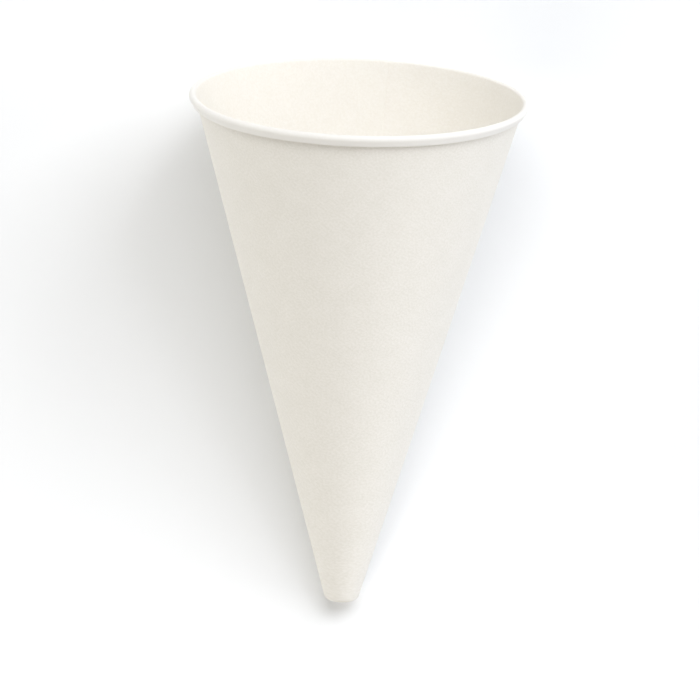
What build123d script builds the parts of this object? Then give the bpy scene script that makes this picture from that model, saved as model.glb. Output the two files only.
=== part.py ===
"""Cone paper cup: one sheet of paper wound into a cone, lapped and glued, with a rolled rim.

Millimetres, +Z up. The cup can't stand on its small foot, so it lies as it comes to rest: on
the rolled rim and the corner of the foot, with the heavy glued lap underneath, the tip
towards -Y and the mouth towards +Y. The origin is on the floor, below the middle of the cup.

The cup's own frame has the foot's underside at its origin, the axis up through the mouth
along its Z, and the side that lies on the floor along its Y.
"""

import os
from math import asin, atan2, degrees

from build123d import *

# Overall sizes
rim_diameter = 68.0  # over the rolled rim
cup_height = 105.6  # from the foot's underside to the top of the roll
foot_diameter = 6.5  # where the lines of the wall would meet the foot's underside

# The paper
paper = 0.25  # one ply
foot_thickness = 0.6  # the tip, folded in and pressed flat
foot_corner_radius = 1.3  # outside
foot_inner_radius = 0.8  # inside

# The rolled rim, measured along the wall and square to it
roll_width = 1.5  # with the wall's own ply
roll_height = 2.3
roll_gap = 0.12  # between the rolled plies
tuck_angle = 110.0  # how far the sheet's end turns on inside the roll

# The glued lap, whose middle lies on the floor
lap_angle = 20.0  # from the inner edge round to the outer edge
lap_press = 0.03  # how far the glue presses one ply into the other

# The roll is a crown over the top, a straight run down outside, and a hem that turns back
# up beside the wall. These are the radii of the middle of the sheet.
crown_radius = (roll_width - paper) / 2
hem_radius = crown_radius - (paper + roll_gap) / 2
tuck_radius = crown_radius - (paper + roll_gap)
roll_run = roll_height - crown_radius - hem_radius - paper

# The wall's outer face is the line from the foot's corner that touches the crown's inside.
foot_corner = Vector(foot_diameter / 2, 0)
crown_reach = crown_radius + paper / 2
crown_centre = Vector(rim_diameter / 2 - crown_reach, cup_height - crown_reach)
slant = crown_centre - foot_corner
wall_angle = degrees(atan2(slant.X, slant.Y) - asin((crown_radius - paper / 2) / slant.length))
up_wall = Vector(0, 1).rotate(Axis.Z, -wall_angle)
out_of_wall = up_wall.rotate(Axis.Z, -90)
wall_top = crown_centre - out_of_wall * crown_radius  # in the middle of the sheet

# The seam, in the cup's own frame: the sheet starts half a lap before the side on the floor.
winding_step = paper - lap_press  # how far one turn moves the sheet outwards
start_direction = Vector(0, 1, 0).rotate(Axis.Z, -lap_angle / 2)
half_step = start_direction * (winding_step / 2)
full_step = start_direction * winding_step

# The floor touches the hem and the lap's corner round the foot, both round in section.
hem_reach = hem_radius + paper / 2
hem_centre = wall_top + out_of_wall * (2 * crown_radius - hem_radius) - up_wall * roll_run
corner_centre = Vector(
    foot_corner.X + foot_corner_radius * (up_wall.X - 1) / up_wall.Y + winding_step,
    foot_corner_radius,
)
floor_line = hem_centre - corner_centre
floor_angle = degrees(
    atan2(floor_line.X, floor_line.Y)
    + asin((hem_reach - foot_corner_radius) / floor_line.length)
)

# The cup's own frame, lying down, with its origin where the middle of the foot comes
axis_direction = Vector(0, 0, 1).rotate(Axis.X, floor_angle - 90)
side_on_floor = Vector(0, 1, 0).rotate(Axis.X, floor_angle - 90)
hem_drop = axis_direction.Z * hem_centre.Y + side_on_floor.Z * hem_centre.X
foot_height = hem_reach - hem_drop
mouth_end = axis_direction.Y * crown_centre.Y + side_on_floor.Y * crown_centre.X + crown_reach
tip_end = -side_on_floor.Y * (foot_diameter / 2)
cup_frame = Plane(
    origin=(0, -(mouth_end + tip_end) / 2, foot_height),
    x_dir=(1, 0, 0),
    z_dir=axis_direction,
)


def radial_plane(origin, direction):
    """The plane through the cup's axis, from origin along direction in the cup's own frame."""
    upright = Plane(origin=origin, x_dir=direction, z_dir=direction.rotate(Axis.Z, -90))
    return Plane(cup_frame.location * upright.location)


def turning_axis(shift):
    """The cup's axis, moved sideways by shift in the cup's own frame."""
    return Axis(cup_frame.from_local_coords(shift), cup_frame.z_dir)


def foot_of_wall(side, height):
    """Where one face of the wall, side mm out from its middle, is at this height."""
    start = wall_top + out_of_wall * side
    return start - up_wall * ((start.Y - height) / up_wall.Y)


def draw_sheet_face(side, height, rolled):
    """Draws one face of the sheet upwards from this height, and returns its far end.

    It goes on over the roll if rolled, and if not it stops inside the hem.
    """
    foot = foot_of_wall(side, height)
    top = wall_top + out_of_wall * side
    if not rolled:
        tucked_under = top - up_wall * (roll_run / 2)
        return Line(foot, tucked_under) @ 1
    wall = Line(foot, top)
    crown = JernArc(wall @ 1, up_wall, crown_radius - side, -180)
    outer_run = Line(crown @ 1, crown @ 1 - up_wall * roll_run)
    hem = JernArc(outer_run @ 1, -up_wall, hem_radius - side, -180)
    inner_run = Line(hem @ 1, hem @ 1 + up_wall * roll_run)
    tuck = JernArc(inner_run @ 1, up_wall, tuck_radius - side, -tuck_angle)
    return tuck @ 1


def sheet_section(plane, foot_start, thickness, inside_radius, rolled):
    """The section of the sheet with a foot of this thickness, from foot_start on the X axis."""
    inside_corner = foot_of_wall(-paper / 2, thickness)
    outside_corner = foot_of_wall(paper / 2, 0)
    with BuildSketch(plane) as section:
        with BuildLine():
            outer_end = draw_sheet_face(paper / 2, 0, rolled)
            inner_end = draw_sheet_face(-paper / 2, thickness, rolled)
            Line(outer_end, inner_end)
            Polyline(inside_corner, (foot_start, thickness), (foot_start, 0), outside_corner)
        make_face()
        fillet(section.vertices().sort_by_distance(inside_corner)[0], radius=inside_radius)
        fillet(section.vertices().sort_by_distance(outside_corner)[0], radius=foot_corner_radius)
    return section.sketch


with BuildPart() as cup:
    # The first half turn, from the inner edge of the lap
    start_plane = radial_plane((0, 0, 0), start_direction)
    start = sheet_section(start_plane, 0, foot_thickness, foot_inner_radius, rolled=True)
    revolve(start, axis=turning_axis((0, 0, 0)), revolution_arc=180)

    # The second half turn, about a shifted axis, so that it comes round outside the first
    half_plane = radial_plane((0, 0, 0), -start_direction)
    half_way = sheet_section(
        half_plane, -winding_step / 2, foot_thickness, foot_inner_radius, rolled=True
    )
    revolve(half_way, axis=turning_axis(half_step), revolution_arc=180)

    # The lap, where the sheet goes on over its own start as a single ply
    lap_plane = radial_plane(full_step, start_direction)
    lap = sheet_section(
        lap_plane, -winding_step, paper, foot_corner_radius - paper, rolled=False
    )
    revolve(lap, axis=turning_axis((0, 0, 0)), revolution_arc=lap_angle)

cup.part.label = "cup"

os.makedirs("parts", exist_ok=True)
export_step(cup.part, "parts/cup.step")
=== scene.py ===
# %% [markdown]
# # A cone paper cup
#
# The cup of a water cooler: one sheet of white paper wound into a cone, glued along a narrow
# lap, its tip pressed flat and its top edge rolled outwards. It has nothing to stand on, so
# it lies on its side with the heavier lap underneath, and it is looked at from above.
#
# The cup is a single sheet, so it can be a single surface. The sheet is a path in section,
# carried round the axis for a little more than one turn, and all of it is worked out as
# arrays with numpy.

import bpy
import numpy as np
from mathutils import Matrix, Vector


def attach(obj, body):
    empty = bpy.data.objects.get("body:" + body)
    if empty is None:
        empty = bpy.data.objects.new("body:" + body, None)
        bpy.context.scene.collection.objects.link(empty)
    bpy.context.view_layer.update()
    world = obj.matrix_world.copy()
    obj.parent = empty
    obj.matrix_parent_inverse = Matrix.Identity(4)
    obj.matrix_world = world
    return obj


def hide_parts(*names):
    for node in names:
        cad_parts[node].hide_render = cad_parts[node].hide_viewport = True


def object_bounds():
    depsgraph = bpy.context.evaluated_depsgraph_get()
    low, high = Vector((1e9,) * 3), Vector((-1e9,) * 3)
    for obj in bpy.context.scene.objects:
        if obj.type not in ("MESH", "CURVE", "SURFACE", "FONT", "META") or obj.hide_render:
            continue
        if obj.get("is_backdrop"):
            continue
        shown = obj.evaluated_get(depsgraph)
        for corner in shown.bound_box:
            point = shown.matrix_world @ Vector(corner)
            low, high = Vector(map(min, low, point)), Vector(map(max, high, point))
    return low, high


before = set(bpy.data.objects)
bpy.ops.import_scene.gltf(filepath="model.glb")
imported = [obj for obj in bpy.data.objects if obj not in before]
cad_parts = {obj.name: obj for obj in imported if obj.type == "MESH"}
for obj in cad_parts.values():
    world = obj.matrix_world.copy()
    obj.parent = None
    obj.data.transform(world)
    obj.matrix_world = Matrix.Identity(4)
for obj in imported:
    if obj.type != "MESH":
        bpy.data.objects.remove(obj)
cad_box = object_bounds()
MM = 0.001
cad_low, cad_high = (np.array(corner) / MM for corner in cad_box)
print("solid model from", cad_low.round(2), "to", cad_high.round(2), "mm")

# %% [markdown]
# ## The paper and the roll
#
# Two numbers give this cup its character: a wall of a quarter of a millimetre, and a roll six
# times as thick as that. Sizes are in millimetres, in the cup's own frame: the axis is Z,
# from the tip up through the mouth, and the side that lies on the floor is Y.

# %% Sizes of the sheet, and of the roll at the rim
RIM_DIAMETER = 68.0
CUP_HEIGHT = 105.6
FOOT_DIAMETER = 6.5
PAPER = 0.25
FOOT_THICKNESS = 0.6
FOOT_CORNER = 1.3
FOOT_INNER_CORNER = 0.8
ROLL_WIDTH = 1.5
ROLL_HEIGHT = 2.3
HEM_WIDTH = 0.85
ROLL_GAP = 0.12
TUCK_TURN = np.radians(110.0)
LAP = np.radians(20.0)
LAP_PRESS = 0.03

crown_radius = (ROLL_WIDTH - PAPER) / 2
hem_radius = (HEM_WIDTH - PAPER) / 2
tuck_radius = crown_radius - (PAPER + ROLL_GAP)
hem_below_crown = ROLL_HEIGHT - crown_radius - hem_radius - PAPER
hem_beyond_crown = PAPER + ROLL_GAP + hem_radius - crown_radius
narrowing = crown_radius - hem_radius
between_centres = np.hypot(hem_below_crown, hem_beyond_crown)
run_length = np.sqrt(between_centres**2 - narrowing**2)
run_slant = np.arcsin(narrowing / between_centres) - np.arctan2(hem_beyond_crown, hem_below_crown)

# %% The slope of the wall, and the directions along it and out of it
crown_reach = crown_radius + PAPER / 2
crown_centre = np.array([RIM_DIAMETER / 2 - crown_reach, CUP_HEIGHT - crown_reach])
slant = crown_centre - [FOOT_DIAMETER / 2, 0]
wall_lean = np.arctan2(*slant) - np.arcsin((crown_radius - PAPER / 2) / np.hypot(*slant))
up = np.array([np.sin(wall_lean), np.cos(wall_lean)])
out = np.array([np.cos(wall_lean), -np.sin(wall_lean)])
wall_top = crown_centre - crown_radius * out
hem_centre = crown_centre + hem_beyond_crown * out - hem_below_crown * up
run_out = out * np.cos(run_slant) - up * np.sin(run_slant)
run_down = -up * np.cos(run_slant) - out * np.sin(run_slant)
print("half the cone's angle:", np.degrees(wall_lean).round(2), "degrees")

# %% [markdown]
# ## The sheet in section
#
# Cut the cup through its axis, and the paper is a long thin line: across the foot, round its
# corner, straight up the wall, and then over a crown, down, and round a hem that turns it
# back up inside the roll. One line for each face of the paper, with as many points in each,
# makes it easy to join the two into a closed sheet. The roll is wider at its crown than at its
# hem, so its outside slants back towards the wall as it comes down.

# %% One face of the sheet
ROWS = {"foot": 14, "corner": 14, "wall": 64, "crown": 26, "run": 5, "hem": 20, "tuck": 12}


def bend(centre, radius, first, second, turn, count):
    """Points on an arc, and the directions from its centre to them.

    The direction is first times the cosine of the angle plus second times its sine, as the
    angle goes from nought to turn, and a point is centre plus radius times the direction.
    """
    angle = np.linspace(0, turn, count + 1)[1:, None]
    direction = first * np.cos(angle) + second * np.sin(angle)
    return centre + radius * direction, direction


def straight(start, end, count):
    """Points from start to end in equal steps, without start itself."""
    share = np.linspace(0, 1, count + 1)[1:, None]
    return start + (end - start) * share


def corner_middle(face_top, height, radius):
    """The centre of the bend from a flat foot at a height to the wall that ends at face_top.

    The wall's line is carried down to the foot, and the centre is one radius above the foot,
    moved in until its circle touches that line.
    """
    edge = face_top - up * (face_top[1] - height) / up[1]
    return edge + radius * np.array([(up[0] - 1) / up[1], 1.0])


def face_section(side, foot_height, corner):
    """The line of one face of the sheet: its points, and the outward normals there.

    side is how far the face is outside the middle of the paper, in mm, foot_height is how
    high it is at the foot, and corner is the radius of its bend there. Both results are
    rows of (distance from the axis, height).
    """
    down, level = np.array([0.0, -1.0]), np.array([1.0, 0.0])
    face_top = wall_top + side * out
    middle = corner_middle(face_top, foot_height, corner)
    flat = straight(np.array([0.0, foot_height]), middle + corner * down, ROWS["foot"])
    corner_turn = np.pi / 2 - wall_lean
    bottom, bottom_normal = bend(middle, corner, down, level, corner_turn, ROWS["corner"])
    wall = straight(bottom[-1], face_top, ROWS["wall"])
    over, under = np.pi + run_slant, np.pi - run_slant
    crown, crown_way = bend(crown_centre, crown_radius - side, -out, up, over, ROWS["crown"])
    outer_run = straight(crown[-1], crown[-1] + run_length * run_down, ROWS["run"])
    hem, hem_way = bend(hem_centre, hem_radius - side, run_out, run_down, under, ROWS["hem"])
    inner_run = straight(hem[-1], hem[-1] + hem_below_crown * up, ROWS["run"])
    tuck, tuck_way = bend(crown_centre, tuck_radius - side, -out, up, TUCK_TURN, ROWS["tuck"])
    points = [flat, bottom, wall, crown, outer_run, hem, inner_run, tuck]
    normals = [
        np.tile(down, (ROWS["foot"], 1)),
        bottom_normal,
        np.tile(out, (ROWS["wall"], 1)),
        -crown_way,
        np.tile(-run_out, (ROWS["run"], 1)),
        -hem_way,
        np.tile(out, (ROWS["run"], 1)),
        -tuck_way,
    ]
    return np.concatenate(points), np.concatenate(normals)


outer_points, normals = face_section(PAPER / 2, 0.0, FOOT_CORNER)
inner_points, _ = face_section(-PAPER / 2, FOOT_THICKNESS, FOOT_INNER_CORNER)
ends = np.cumsum([ROWS[k] for k in ("foot", "corner", "wall", "crown", "run", "hem", "run")])
foot_end, corner_end, wall_end, _, outer_run_end, _, inner_run_end = ends
row = np.arange(len(normals))
print("points along each face:", len(normals))

# %% [markdown]
# ## Winding the sheet
#
# The sheet starts at the inner edge of the lap and goes round once, plus the lap. To pass
# outside its own start it has to move out by one ply on the way, which it does over the
# second half of the turn. Outside the wall is inside the roll, so there the moved sheet
# nests in the first ply, as rolled paper does, and the first ply's edge is the one that
# shows on the rim.

# %% Where the columns of the grid go, and how far each is moved outwards
COLUMNS = 256
START_AZIMUTH = np.radians(80.0)
NEAR_EDGE = np.radians([0.3, 0.6, 0.9])  # columns added beside both cut edges
whole_turn = 2 * np.pi + LAP
even = np.linspace(0, whole_turn, COLUMNS)
turned = np.sort(np.concatenate([even, NEAR_EDGE, whole_turn - NEAR_EDGE]))
step = (PAPER - LAP_PRESS) * up[1]
second_half = np.clip(turned, np.pi, 2 * np.pi)
winding = step / 2 * (1 + np.cos(second_half))

# The seam is clamped while its glue sets, which thins the sheet along both of its edges.
EDGE_PRESS = 0.045
PRESS_SPREAD = np.radians(0.6)
to_edge = np.minimum(turned, whole_turn - turned)
pressed = EDGE_PRESS * np.exp(-to_edge / PRESS_SPREAD)

# Across the foot the plies are pressed together, and in the tuck they run out.
LEFT_ON_FOOT = 0.12
across_foot = outer_points[:, 0] / outer_points[foot_end - 1, 0]
winding_share = np.interp(
    row,
    [foot_end - 1, corner_end - 1, inner_run_end - 1, len(row) - 1],
    [LEFT_ON_FOOT, 1, 1, 0],
)
winding_share[:foot_end] = LEFT_ON_FOOT * across_foot[:foot_end]
print("columns:", len(turned), " one ply moves the sheet out by", step.round(3), "mm")

# %% [markdown]
# ## Small faults
#
# A real cup is never a perfect cone. The mouth is a little out of round, the wall has slow
# waves that are less than a hair deep, the roll is tighter in one place than another, and
# the pressed foot has folds where the paper was gathered. All of these are sums of a few
# sine waves round the cup. They die away where the cup touches the floor, so that it still
# rests there.


# %% Waves that die away beside the floor
def waves(azimuth, parts):
    """A sum of sine waves round the cup, each part an amplitude, a whole count and a phase."""
    return sum(size * np.sin(count * azimuth + phase) for size, count, phase in parts)


BESIDE_FLOOR = np.radians(40)
azimuth = START_AZIMUTH + turned
from_floor = np.abs((azimuth - np.pi / 2 + np.pi) % (2 * np.pi) - np.pi)
clear_of_floor = 1 - np.exp(-((from_floor / BESIDE_FLOOR) ** 2))

# %% A mouth out of round, and a wall that isn't quite straight
OUT_OF_ROUND = [(0.11, 2, 0.7), (0.05, 3, 2.1)]
MOUTH_ONLY = 1.5  # the power of the height by which the mouth's shape fades down the wall
WAVE_DEPTH, WAVES_ROUND, WAVE_PHASE, WAVE_TWIST = 0.03, 5, 1.3, 2.5
up_the_wall = np.clip((row - corner_end + 1) / ROWS["wall"], 0, 1)[:, None]
out_of_round = waves(azimuth, OUT_OF_ROUND) * up_the_wall**MOUTH_ONLY
wave_turn = WAVES_ROUND * azimuth + WAVE_PHASE + WAVE_TWIST * up_the_wall
slow_waves = WAVE_DEPTH * np.sin(wave_turn) * np.sin(np.pi * up_the_wall)
wider = (out_of_round + slow_waves) * clear_of_floor
print("the wall strays by up to", np.abs(wider).max().round(3), "mm")

# %% A roll that is looser in one place than another, with an edge that leans as it goes over
LOOSENESS = [(0.016, 5, 0.4), (0.012, 8, 1.9), (0.008, 13, 4.0)]
EDGE_LEAN = np.radians(2.6)
LEAN_SPREAD = np.radians(7)
LEAN_GROWTH = 1.3  # the power by which the lean grows over the roll
looseness = waves(azimuth, LOOSENESS) * clear_of_floor
into_roll = np.clip((row - wall_end) / ROWS["crown"], 0, 1)[:, None]
over_roll = np.clip((row - wall_end) / (outer_run_end - wall_end), 0, 1)[:, None]
lean = EDGE_LEAN * over_roll**LEAN_GROWTH * np.exp(-turned / LEAN_SPREAD)

# %% Folds and a dimple in the pressed foot
FOLDS = [(0.09, 5, 0.2), (0.06, 8, 2.6), (0.035, 13, 1.1)]
FOLD_REACH = 1.25  # where the folds end, as a share of the flat's own radius
DIMPLE = 0.16
PAST_FOOT = 2  # any share beyond the foot, where there are no folds
share_of_foot = np.where(row < corner_end, across_foot, PAST_FOOT)[:, None]
folds = waves(azimuth, FOLDS) * share_of_foot * np.clip(FOLD_REACH - share_of_foot, 0, 1)
foot_fault = folds - DIMPLE * np.clip(1 - share_of_foot**2, 0, 1)

# %% [markdown]
# ## Lying down
#
# The cup rests on the crown of its roll and on the corner of its foot. In section both are
# round, so the floor is the line that touches two circles. That line's slope lays the cup
# down, and its reach along the floor, from tip to mouth, centres it over the origin.

# %% The cup's own axes in the frame of the scene
foot_bend = corner_middle(wall_top + PAPER / 2 * out, 0.0, FOOT_CORNER)
lapped_bend = foot_bend + [PAPER - LAP_PRESS, 0]
floor_line = crown_centre - lapped_bend
wider_end = np.arcsin((crown_reach - FOOT_CORNER) / np.hypot(*floor_line))
floor_lean = np.arctan2(*floor_line) + wider_end
axis = np.array([0, np.cos(floor_lean), np.sin(floor_lean)])
to_floor = np.array([0, np.sin(floor_lean), -np.cos(floor_lean)])
across = np.array([1.0, 0.0, 0.0])
foot_rise = crown_reach - (axis[2] * crown_centre[1] + to_floor[2] * crown_centre[0])
mouth_end = axis[1] * crown_centre[1] + to_floor[1] * crown_centre[0] + crown_reach
tip_end = -to_floor[1] * FOOT_DIAMETER / 2
foot_middle = np.array([0, -(mouth_end + tip_end) / 2, foot_rise])
print("the axis rises", np.degrees(floor_lean).round(2), "degrees from the floor")


# %% One face of the wound sheet
def wind(points, face):
    """Carries a face's line round the axis and lays it down: (rows, columns, 3), in metres.

    A point moves along its normal by the winding and the foot's folds, less the press if
    face is 1, the outside, and more if it is -1, the inside. It also moves out from the middle
    of the roll by its looseness, and out from the axis by the slow waves. Then it is turned
    to its column's azimuth: distance times cosine, distance times sine, and height are its
    lengths along the cup's own three axes.
    """
    loosened = (points - crown_centre)[:, None, :] * (into_roll * looseness)[:, :, None]
    push = winding_share[:, None] * winding + foot_fault - face * pressed
    moved = points[:, None, :] + normals[:, None, :] * push[:, :, None] + loosened
    distance, height = moved[..., :1] + wider[..., None], moved[..., 1:]
    angle = azimuth + lean
    around = across * np.cos(angle)[..., None] + to_floor * np.sin(angle)[..., None]
    return (foot_middle + distance * around + height * axis) * MM


outside = wind(outer_points, 1)
inside = wind(inner_points, -1)
foot_centres = [(foot_middle + h * axis) * MM for h in (DIMPLE, FOOT_THICKNESS + DIMPLE)]

# %% [markdown]
# ## Closing the sheet
#
# The two faces become one closed skin: a fan of triangles joins each to its own point on the
# axis, and strips one face wide make the paper's cut edges, at both ends of the lap and at
# the end of the tuck. The corners of every face are listed so that it looks outwards.

# %% Vertices and faces
rows, columns = outside.shape[:2]
vertices = np.concatenate([foot_centres, outside.reshape(-1, 3), inside.reshape(-1, 3)])
out_id = 2 + np.arange(rows * columns).reshape(rows, columns)
in_id = out_id + rows * columns


def quads(a, b, c, d):
    """One row of four corners for each place in four equal arrays."""
    return np.stack([a, b, c, d], axis=-1).reshape(-1, 4)


def skin(ids):
    """The faces between neighbours in a grid, looking the way of the outside of the cup."""
    return quads(ids[:-1, :-1], ids[:-1, 1:], ids[1:, 1:], ids[1:, :-1])


start_out = np.append(0, out_id[:, 0])
start_in = np.append(1, in_id[:, 0])
last_out = np.append(0, out_id[:, -1])
last_in = np.append(1, in_id[:, -1])
four_sided = np.concatenate(
    [
        skin(out_id),
        skin(in_id)[:, ::-1],
        quads(start_out[:-1], start_out[1:], start_in[1:], start_in[:-1]),
        quads(last_out[:-1], last_in[:-1], last_in[1:], last_out[1:]),
        quads(out_id[-1, :-1], out_id[-1, 1:], in_id[-1, 1:], in_id[-1, :-1]),
    ]
)
zero = np.zeros(columns - 1, int)
out_fan = np.stack([zero, out_id[0, 1:], out_id[0, :-1]], axis=-1)
in_fan = np.stack([zero + 1, in_id[0, :-1], in_id[0, 1:]], axis=-1)
faces = four_sided.tolist() + out_fan.tolist() + in_fan.tolist()

# %% The mesh, smooth but for the paper's cut edges
EDGE_ANGLE = np.radians(40)
sheet = bpy.data.meshes.new("wound_sheet")
sheet.from_pydata(vertices, [], faces)
print("faces:", len(faces), " problems found by validate:", sheet.validate(verbose=True))
sheet.shade_smooth()
sheet.set_sharp_from_angle(angle=EDGE_ANGLE)
cup = bpy.data.objects.new("cone_cup", sheet)
bpy.context.scene.collection.objects.link(cup)

# %% [markdown]
# ## Where each point was on the flat sheet
#
# Paper has its pattern before it is rolled. So each point keeps its place on the flat blank,
# a fan cut from the web: its distance along the paper from the tip, turned by the fan's own
# angle. A cone flattens by the sine of half its angle, so one turn round the cup is only
# about 97 degrees of the fan.

# %% The flat blank, kept as an attribute in millimetres
mid_line = (outer_points + inner_points) / 2
from_tip = np.cumsum(np.hypot(*np.diff(mid_line, axis=0, prepend=[[0, 0]]).T))
fan = turned * np.sin(wall_lean)
flat_x = np.outer(from_tip, np.cos(fan))
flat_y = np.outer(from_tip, np.sin(fan))
OTHER_SIDE = 60.0  # mm, so that the two sides of the paper don't share a pattern
blank = np.zeros((len(vertices), 3), np.float32)
blank[2:, 0] = np.tile(flat_x.ravel(), 2)
blank[2:, 1] = np.tile(flat_y.ravel(), 2)
blank[2 + rows * columns :, 2] = OTHER_SIDE
blank[1, 2] = OTHER_SIDE
flat_place = sheet.attributes.new("blank", "FLOAT_VECTOR", "POINT")
flat_place.data.foreach_set("vector", blank.ravel())

# %% How far into the roll each point is, from nought on the wall to one on the roll: the paper is smoother there, and the bead is painted paler as a painted highlight
roll_smoothing_and_highlight = np.zeros(len(vertices), np.float32)
roll_smoothing_and_highlight[2:] = np.tile(np.repeat(np.sqrt(into_roll[:, 0]), columns), 2)
sheet.attributes.new("roll_smoothing_and_highlight", "FLOAT", "POINT").data.foreach_set("value", roll_smoothing_and_highlight)
print("the fan is", round(from_tip[-1], 1), "mm long and", np.degrees(fan[-1]).round(1), "degrees")

# %% [markdown]
# ## Cup paper
#
# The real sheet is bleached paper of about 200 g a square metre, treated so that it doesn't
# soak through, with no plastic film. To the eye it is off-white rather than white, dull with
# a faint sheen at a low angle, and finely grained. Three things are seen in it. Formation is
# a cloudiness of a few millimetres, where the pulp settled thicker. Fibres of about two
# millimetres lie to both sides of the machine's direction, so that they cross. And the felt
# leaves a fine tooth that the light catches. The tool that rolls the rim rubs the paper there,
# which leaves the bead smoother than the wall. The bead is also painted a little paler and
# more neutral than the wall: a painted highlight, where the light catches the roll.


# %% Helpers for colours and nodes
def linear(colour):
    """A hex colour as the linear red, green, blue and alpha that a shader works in.

    An sRGB value up to 0.04045 is divided by 12.92, and one above it is raised to 2.4 after
    0.055 is added and the sum is divided by 1.055.
    """
    srgb = np.array([int(colour[i : i + 2], 16) for i in (1, 3, 5)]) / 255
    return (*np.where(srgb <= 0.04045, srgb / 12.92, ((srgb + 0.055) / 1.055) ** 2.4), 1.0)


def add_node(tree, kind, inputs=None, **settings):
    """Adds a node, sets its settings, and sets or links each input by its name or number."""
    node = tree.nodes.new(kind)
    for name, value in settings.items():
        setattr(node, name, value)
    for key, value in (inputs or {}).items():
        if isinstance(value, bpy.types.NodeSocket):
            tree.links.new(value, node.inputs[key])
        else:
            node.inputs[key].default_value = value
    return node


def new_material(name):
    """An empty node material, and its tree."""
    material = bpy.data.materials.new(name)
    material.use_nodes = True
    material.node_tree.nodes.clear()
    return material, material.node_tree


# %% The patterns, on the flat blank
CLOUD = 4.5  # mm, one cloud of the formation
FIBRE_LENGTH = 2.4
FIBRE_WIDTH = 0.3  # real fibres are 0.03 mm wide, drawn as coarse as they need to show
FIBRE_WANDER = 0.5
MACHINE_DIRECTION = np.radians(38)
FIBRE_SPREAD = np.radians(27)
TOOTH = 0.45

paper, paper_tree = new_material("treated_cup_paper")
place = add_node(paper_tree, "ShaderNodeAttribute", attribute_name="blank").outputs["Vector"]
formation = add_node(
    paper_tree, "ShaderNodeTexNoise", {"Vector": place, "Scale": 1 / CLOUD, "Detail": 3.0}
)
tooth = add_node(
    paper_tree,
    "ShaderNodeTexNoise",
    {"Vector": place, "Scale": 1 / TOOTH, "Detail": 3.0, "Roughness": 0.6},
)
fibre_ways = []
for lie in (MACHINE_DIRECTION - FIBRE_SPREAD, MACHINE_DIRECTION + FIBRE_SPREAD):
    fibre_size = (1 / FIBRE_LENGTH, 1 / FIBRE_WIDTH, 1)
    combed = add_node(
        paper_tree,
        "ShaderNodeMapping",
        {"Vector": place, "Rotation": (0, 0, lie), "Scale": fibre_size},
    ).outputs[0]
    streaks = add_node(
        paper_tree,
        "ShaderNodeTexNoise",
        {"Vector": combed, "Scale": 1.0, "Detail": 2.0, "Distortion": FIBRE_WANDER},
    )
    fibre_ways.append(streaks.outputs[0])
fibres = add_node(
    paper_tree, "ShaderNodeMath", dict(enumerate(fibre_ways)), operation="MAXIMUM"
)
print("patterns in the paper: clouds, fibres lying", len(fibre_ways), "ways, and tooth")

# %% One grain from the fibres and the tooth, and one tone from the grain and the clouds
TOOTH_SHARE = 0.8
CLOUD_SHARE = 0.25
grain = add_node(
    paper_tree,
    "ShaderNodeMix",
    {"Factor": TOOTH_SHARE, "A": fibres.outputs[0], "B": tooth.outputs[0]},
).outputs[0]
clear_grain = add_node(
    paper_tree, "ShaderNodeMapRange", {"Value": grain, "From Min": 0.4, "From Max": 0.64}
).outputs[0]
clear_cloud = add_node(
    paper_tree,
    "ShaderNodeMapRange",
    {"Value": formation.outputs[0], "From Min": 0.3, "From Max": 0.7},
).outputs[0]
pattern = add_node(
    paper_tree, "ShaderNodeMix", {"Factor": CLOUD_SHARE, "A": clear_grain, "B": clear_cloud}
).outputs[0]

# %% The paper's colours: each side's darkest and lightest, with the inside painted warmer, and the roll's painted highlight
# The inside is painted a little warmer than the outside: partly the paper's two sides, and partly
# painted warm light, for the light that comes through the paper and bounces round inside the cup.
SIDES = {"outside": ("#E7E5DF", "#F1EFEB"), "inside": ("#EBE7DF", "#F0EDE7")}
# The roll's colour is a painted highlight: paler and more neutral than the wall, as where light
# catches the bead.
ROLL_HIGHLIGHT = "#F0EFED"
outside_tone, inside_tone_and_painted_warmth = [
    add_node(
        paper_tree,
        "ShaderNodeMix",
        {"Factor": pattern, "A": linear(dark), "B": linear(light)},
        data_type="RGBA",
    ).outputs["Result"]
    for dark, light in SIDES.values()
]
which_side = add_node(paper_tree, "ShaderNodeSeparateXYZ", {"Vector": place}).outputs["Z"]
inside_share = add_node(
    paper_tree, "ShaderNodeMapRange", {"Value": which_side, "From Max": OTHER_SIDE}
).outputs[0]
tone = add_node(
    paper_tree,
    "ShaderNodeMix",
    {"Factor": inside_share, "A": outside_tone, "B": inside_tone_and_painted_warmth},
    data_type="RGBA",
).outputs["Result"]
rubbing_and_highlight = add_node(paper_tree, "ShaderNodeAttribute", attribute_name="roll_smoothing_and_highlight").outputs["Fac"]
# Towards the roll the paper's colour goes over to the painted highlight.
paper_colour = add_node(
    paper_tree,
    "ShaderNodeMix",
    {"Factor": rubbing_and_highlight, "A": tone, "B": linear(ROLL_HIGHLIGHT)},
    data_type="RGBA",
).outputs["Result"]
print("colours of the paper:", SIDES, "and on the roll", ROLL_HIGHLIGHT)

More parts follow.
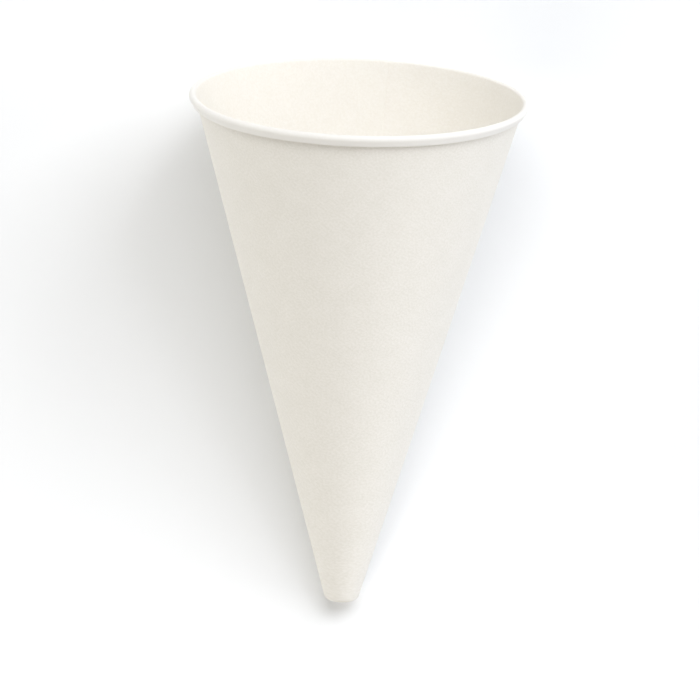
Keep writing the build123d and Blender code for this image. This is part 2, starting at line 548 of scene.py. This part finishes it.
# %% The paper's relief and dullness, and its shader
RELIEF = 0.05 * MM
DULL, DULLEST, RUBBED_DULL = 0.62, 0.76, 0.5
relief = add_node(
    paper_tree, "ShaderNodeBump", {"Strength": 1.0, "Distance": RELIEF, "Height": grain}
)
dullness = add_node(
    paper_tree, "ShaderNodeMapRange", {"Value": clear_grain, "To Min": DULL, "To Max": DULLEST}
).outputs[0]
rubbed_dullness = add_node(
    paper_tree, "ShaderNodeMix", {"Factor": rubbing_and_highlight, "A": dullness, "B": RUBBED_DULL}
).outputs[0]
paper_surface = add_node(
    paper_tree,
    "ShaderNodeBsdfPrincipled",
    {
        "Base Color": paper_colour,
        "Roughness": rubbed_dullness,
        "IOR": 1.5,
        "Normal": relief.outputs[0],
    },
)
add_node(paper_tree, "ShaderNodeOutputMaterial", {"Surface": paper_surface.outputs[0]})
sheet.materials.append(paper)
print("nodes in", paper.name + ":", len(paper_tree.nodes))

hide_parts("cup")
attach(cup, "root")

# %% [markdown]
# ## Floor, light and camera
#
# The floor is a plain white sheet, and the light is a studio's: softboxes all round, the
# brightest of them beyond the mouth and to the right, so that the cup shades from right to
# left. Two small ones, nearer and on the tip's side, keep that end as bright as the mouth. The
# camera is far off with a long lens, so the cone keeps its true taper and its mouth is a
# narrow ellipse.

# %% The floor
FLOOR_SIZE = 6.0  # metres
half = FLOOR_SIZE / 2
floor_mesh = bpy.data.meshes.new("floor")
floor_corners = [(-half, -half, 0), (half, -half, 0), (half, half, 0), (-half, half, 0)]
floor_mesh.from_pydata(floor_corners, [], [(0, 1, 2, 3)])
floor = bpy.data.objects.new("floor", floor_mesh)
bpy.context.scene.collection.objects.link(floor)
floor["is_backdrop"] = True
card, card_tree = new_material("white_card")
card_surface = add_node(
    card_tree, "ShaderNodeBsdfPrincipled", {"Base Color": linear("#F5F7FA"), "Roughness": 0.9}
)
add_node(card_tree, "ShaderNodeOutputMaterial", {"Surface": card_surface.outputs[0]})
floor_mesh.materials.append(card)
print("the floor is", FLOOR_SIZE, "m each way")

# %% The lights
target = Vector((foot_middle + axis * CUP_HEIGHT / 2) * MM)
LAMP_SPREAD = 0.6  # a lamp's width as a share of its distance
SOFTBOXES = {  # azimuth and elevation in degrees, distance in metres, watts, colour
    "key": (45, 45, 2.5, 33.3, "#FCFDFF"),
    "right": (0, 18, 2.5, 19.6, "#FFFFFF"),
    "top": (90, 60, 2.5, 29.7, "#FFFFFF"),
    "left": (150, 18, 2.5, 19.0, "#FFFDF6"),
    "front_left": (225, 45, 2.5, 11.5, "#FFF8E9"),
    "near_tip_left": (240, 18, 0.7, 1.41, "#FFFBF3"),
    "near_tip_right": (300, 18, 0.7, 0.75, "#FFF8F0"),
}
for name, (round_deg, up_deg, distance, watts, colour) in SOFTBOXES.items():
    lamp = bpy.data.lights.new(name, "AREA")
    lamp.size = LAMP_SPREAD * distance
    lamp.energy = watts
    lamp.color = linear(colour)[:3]
    box = bpy.data.objects.new(name, lamp)
    east, rise = np.radians([round_deg, up_deg])
    way = Vector((np.cos(rise) * np.cos(east), np.cos(rise) * np.sin(east), np.sin(rise)))
    box.location = target + way * distance
    box.rotation_euler = way.to_track_quat("Z", "Y").to_euler()
    box.visible_camera = False
    bpy.context.scene.collection.objects.link(box)
print("softboxes:", ", ".join(SOFTBOXES))

# %% The room, which gives no light and only looks white past the floor's edge
world = bpy.data.worlds.new("studio")
bpy.context.scene.world = world
world.use_nodes = True
world.node_tree.nodes.clear()
seen = add_node(world.node_tree, "ShaderNodeLightPath").outputs["Is Camera Ray"]
backdrop = add_node(
    world.node_tree, "ShaderNodeBackground", {"Color": linear("#FAFAFA"), "Strength": seen}
)
add_node(world.node_tree, "ShaderNodeOutputWorld", {"Surface": backdrop.outputs[0]})

# %% The camera
CAMERA_DISTANCE = 1.352  # metres
CAMERA_LEAN = np.radians(0.55)
CAMERA_ROLL = np.radians(2.08)
FOCAL_LENGTH = 344
SENSOR_WIDTH = 36

away = Vector((0, -np.sin(CAMERA_LEAN), np.cos(CAMERA_LEAN)))
rolled = Vector((np.cos(CAMERA_ROLL), np.sin(CAMERA_ROLL), 0))
right = (rolled - away * rolled.dot(away)).normalized()
upward = away.cross(right)
lens = bpy.data.cameras.new("camera")
lens.lens = FOCAL_LENGTH
lens.sensor_width = SENSOR_WIDTH
camera = bpy.data.objects.new("camera", lens)
facing = Matrix((right, upward, away)).transposed().to_4x4()
camera.matrix_world = Matrix.Translation(target + away * CAMERA_DISTANCE) @ facing
bpy.context.scene.collection.objects.link(camera)
bpy.context.scene.camera = camera
bpy.context.scene.view_settings.view_transform = "Standard"
print("the camera is", round((target + away * CAMERA_DISTANCE).z, 3), "m above the floor")

# %% The visual model's size
visual_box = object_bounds()
visual_low, visual_high = (np.array(corner) / MM for corner in visual_box)
print("visual model from", visual_low.round(2), "to", visual_high.round(2), "mm")
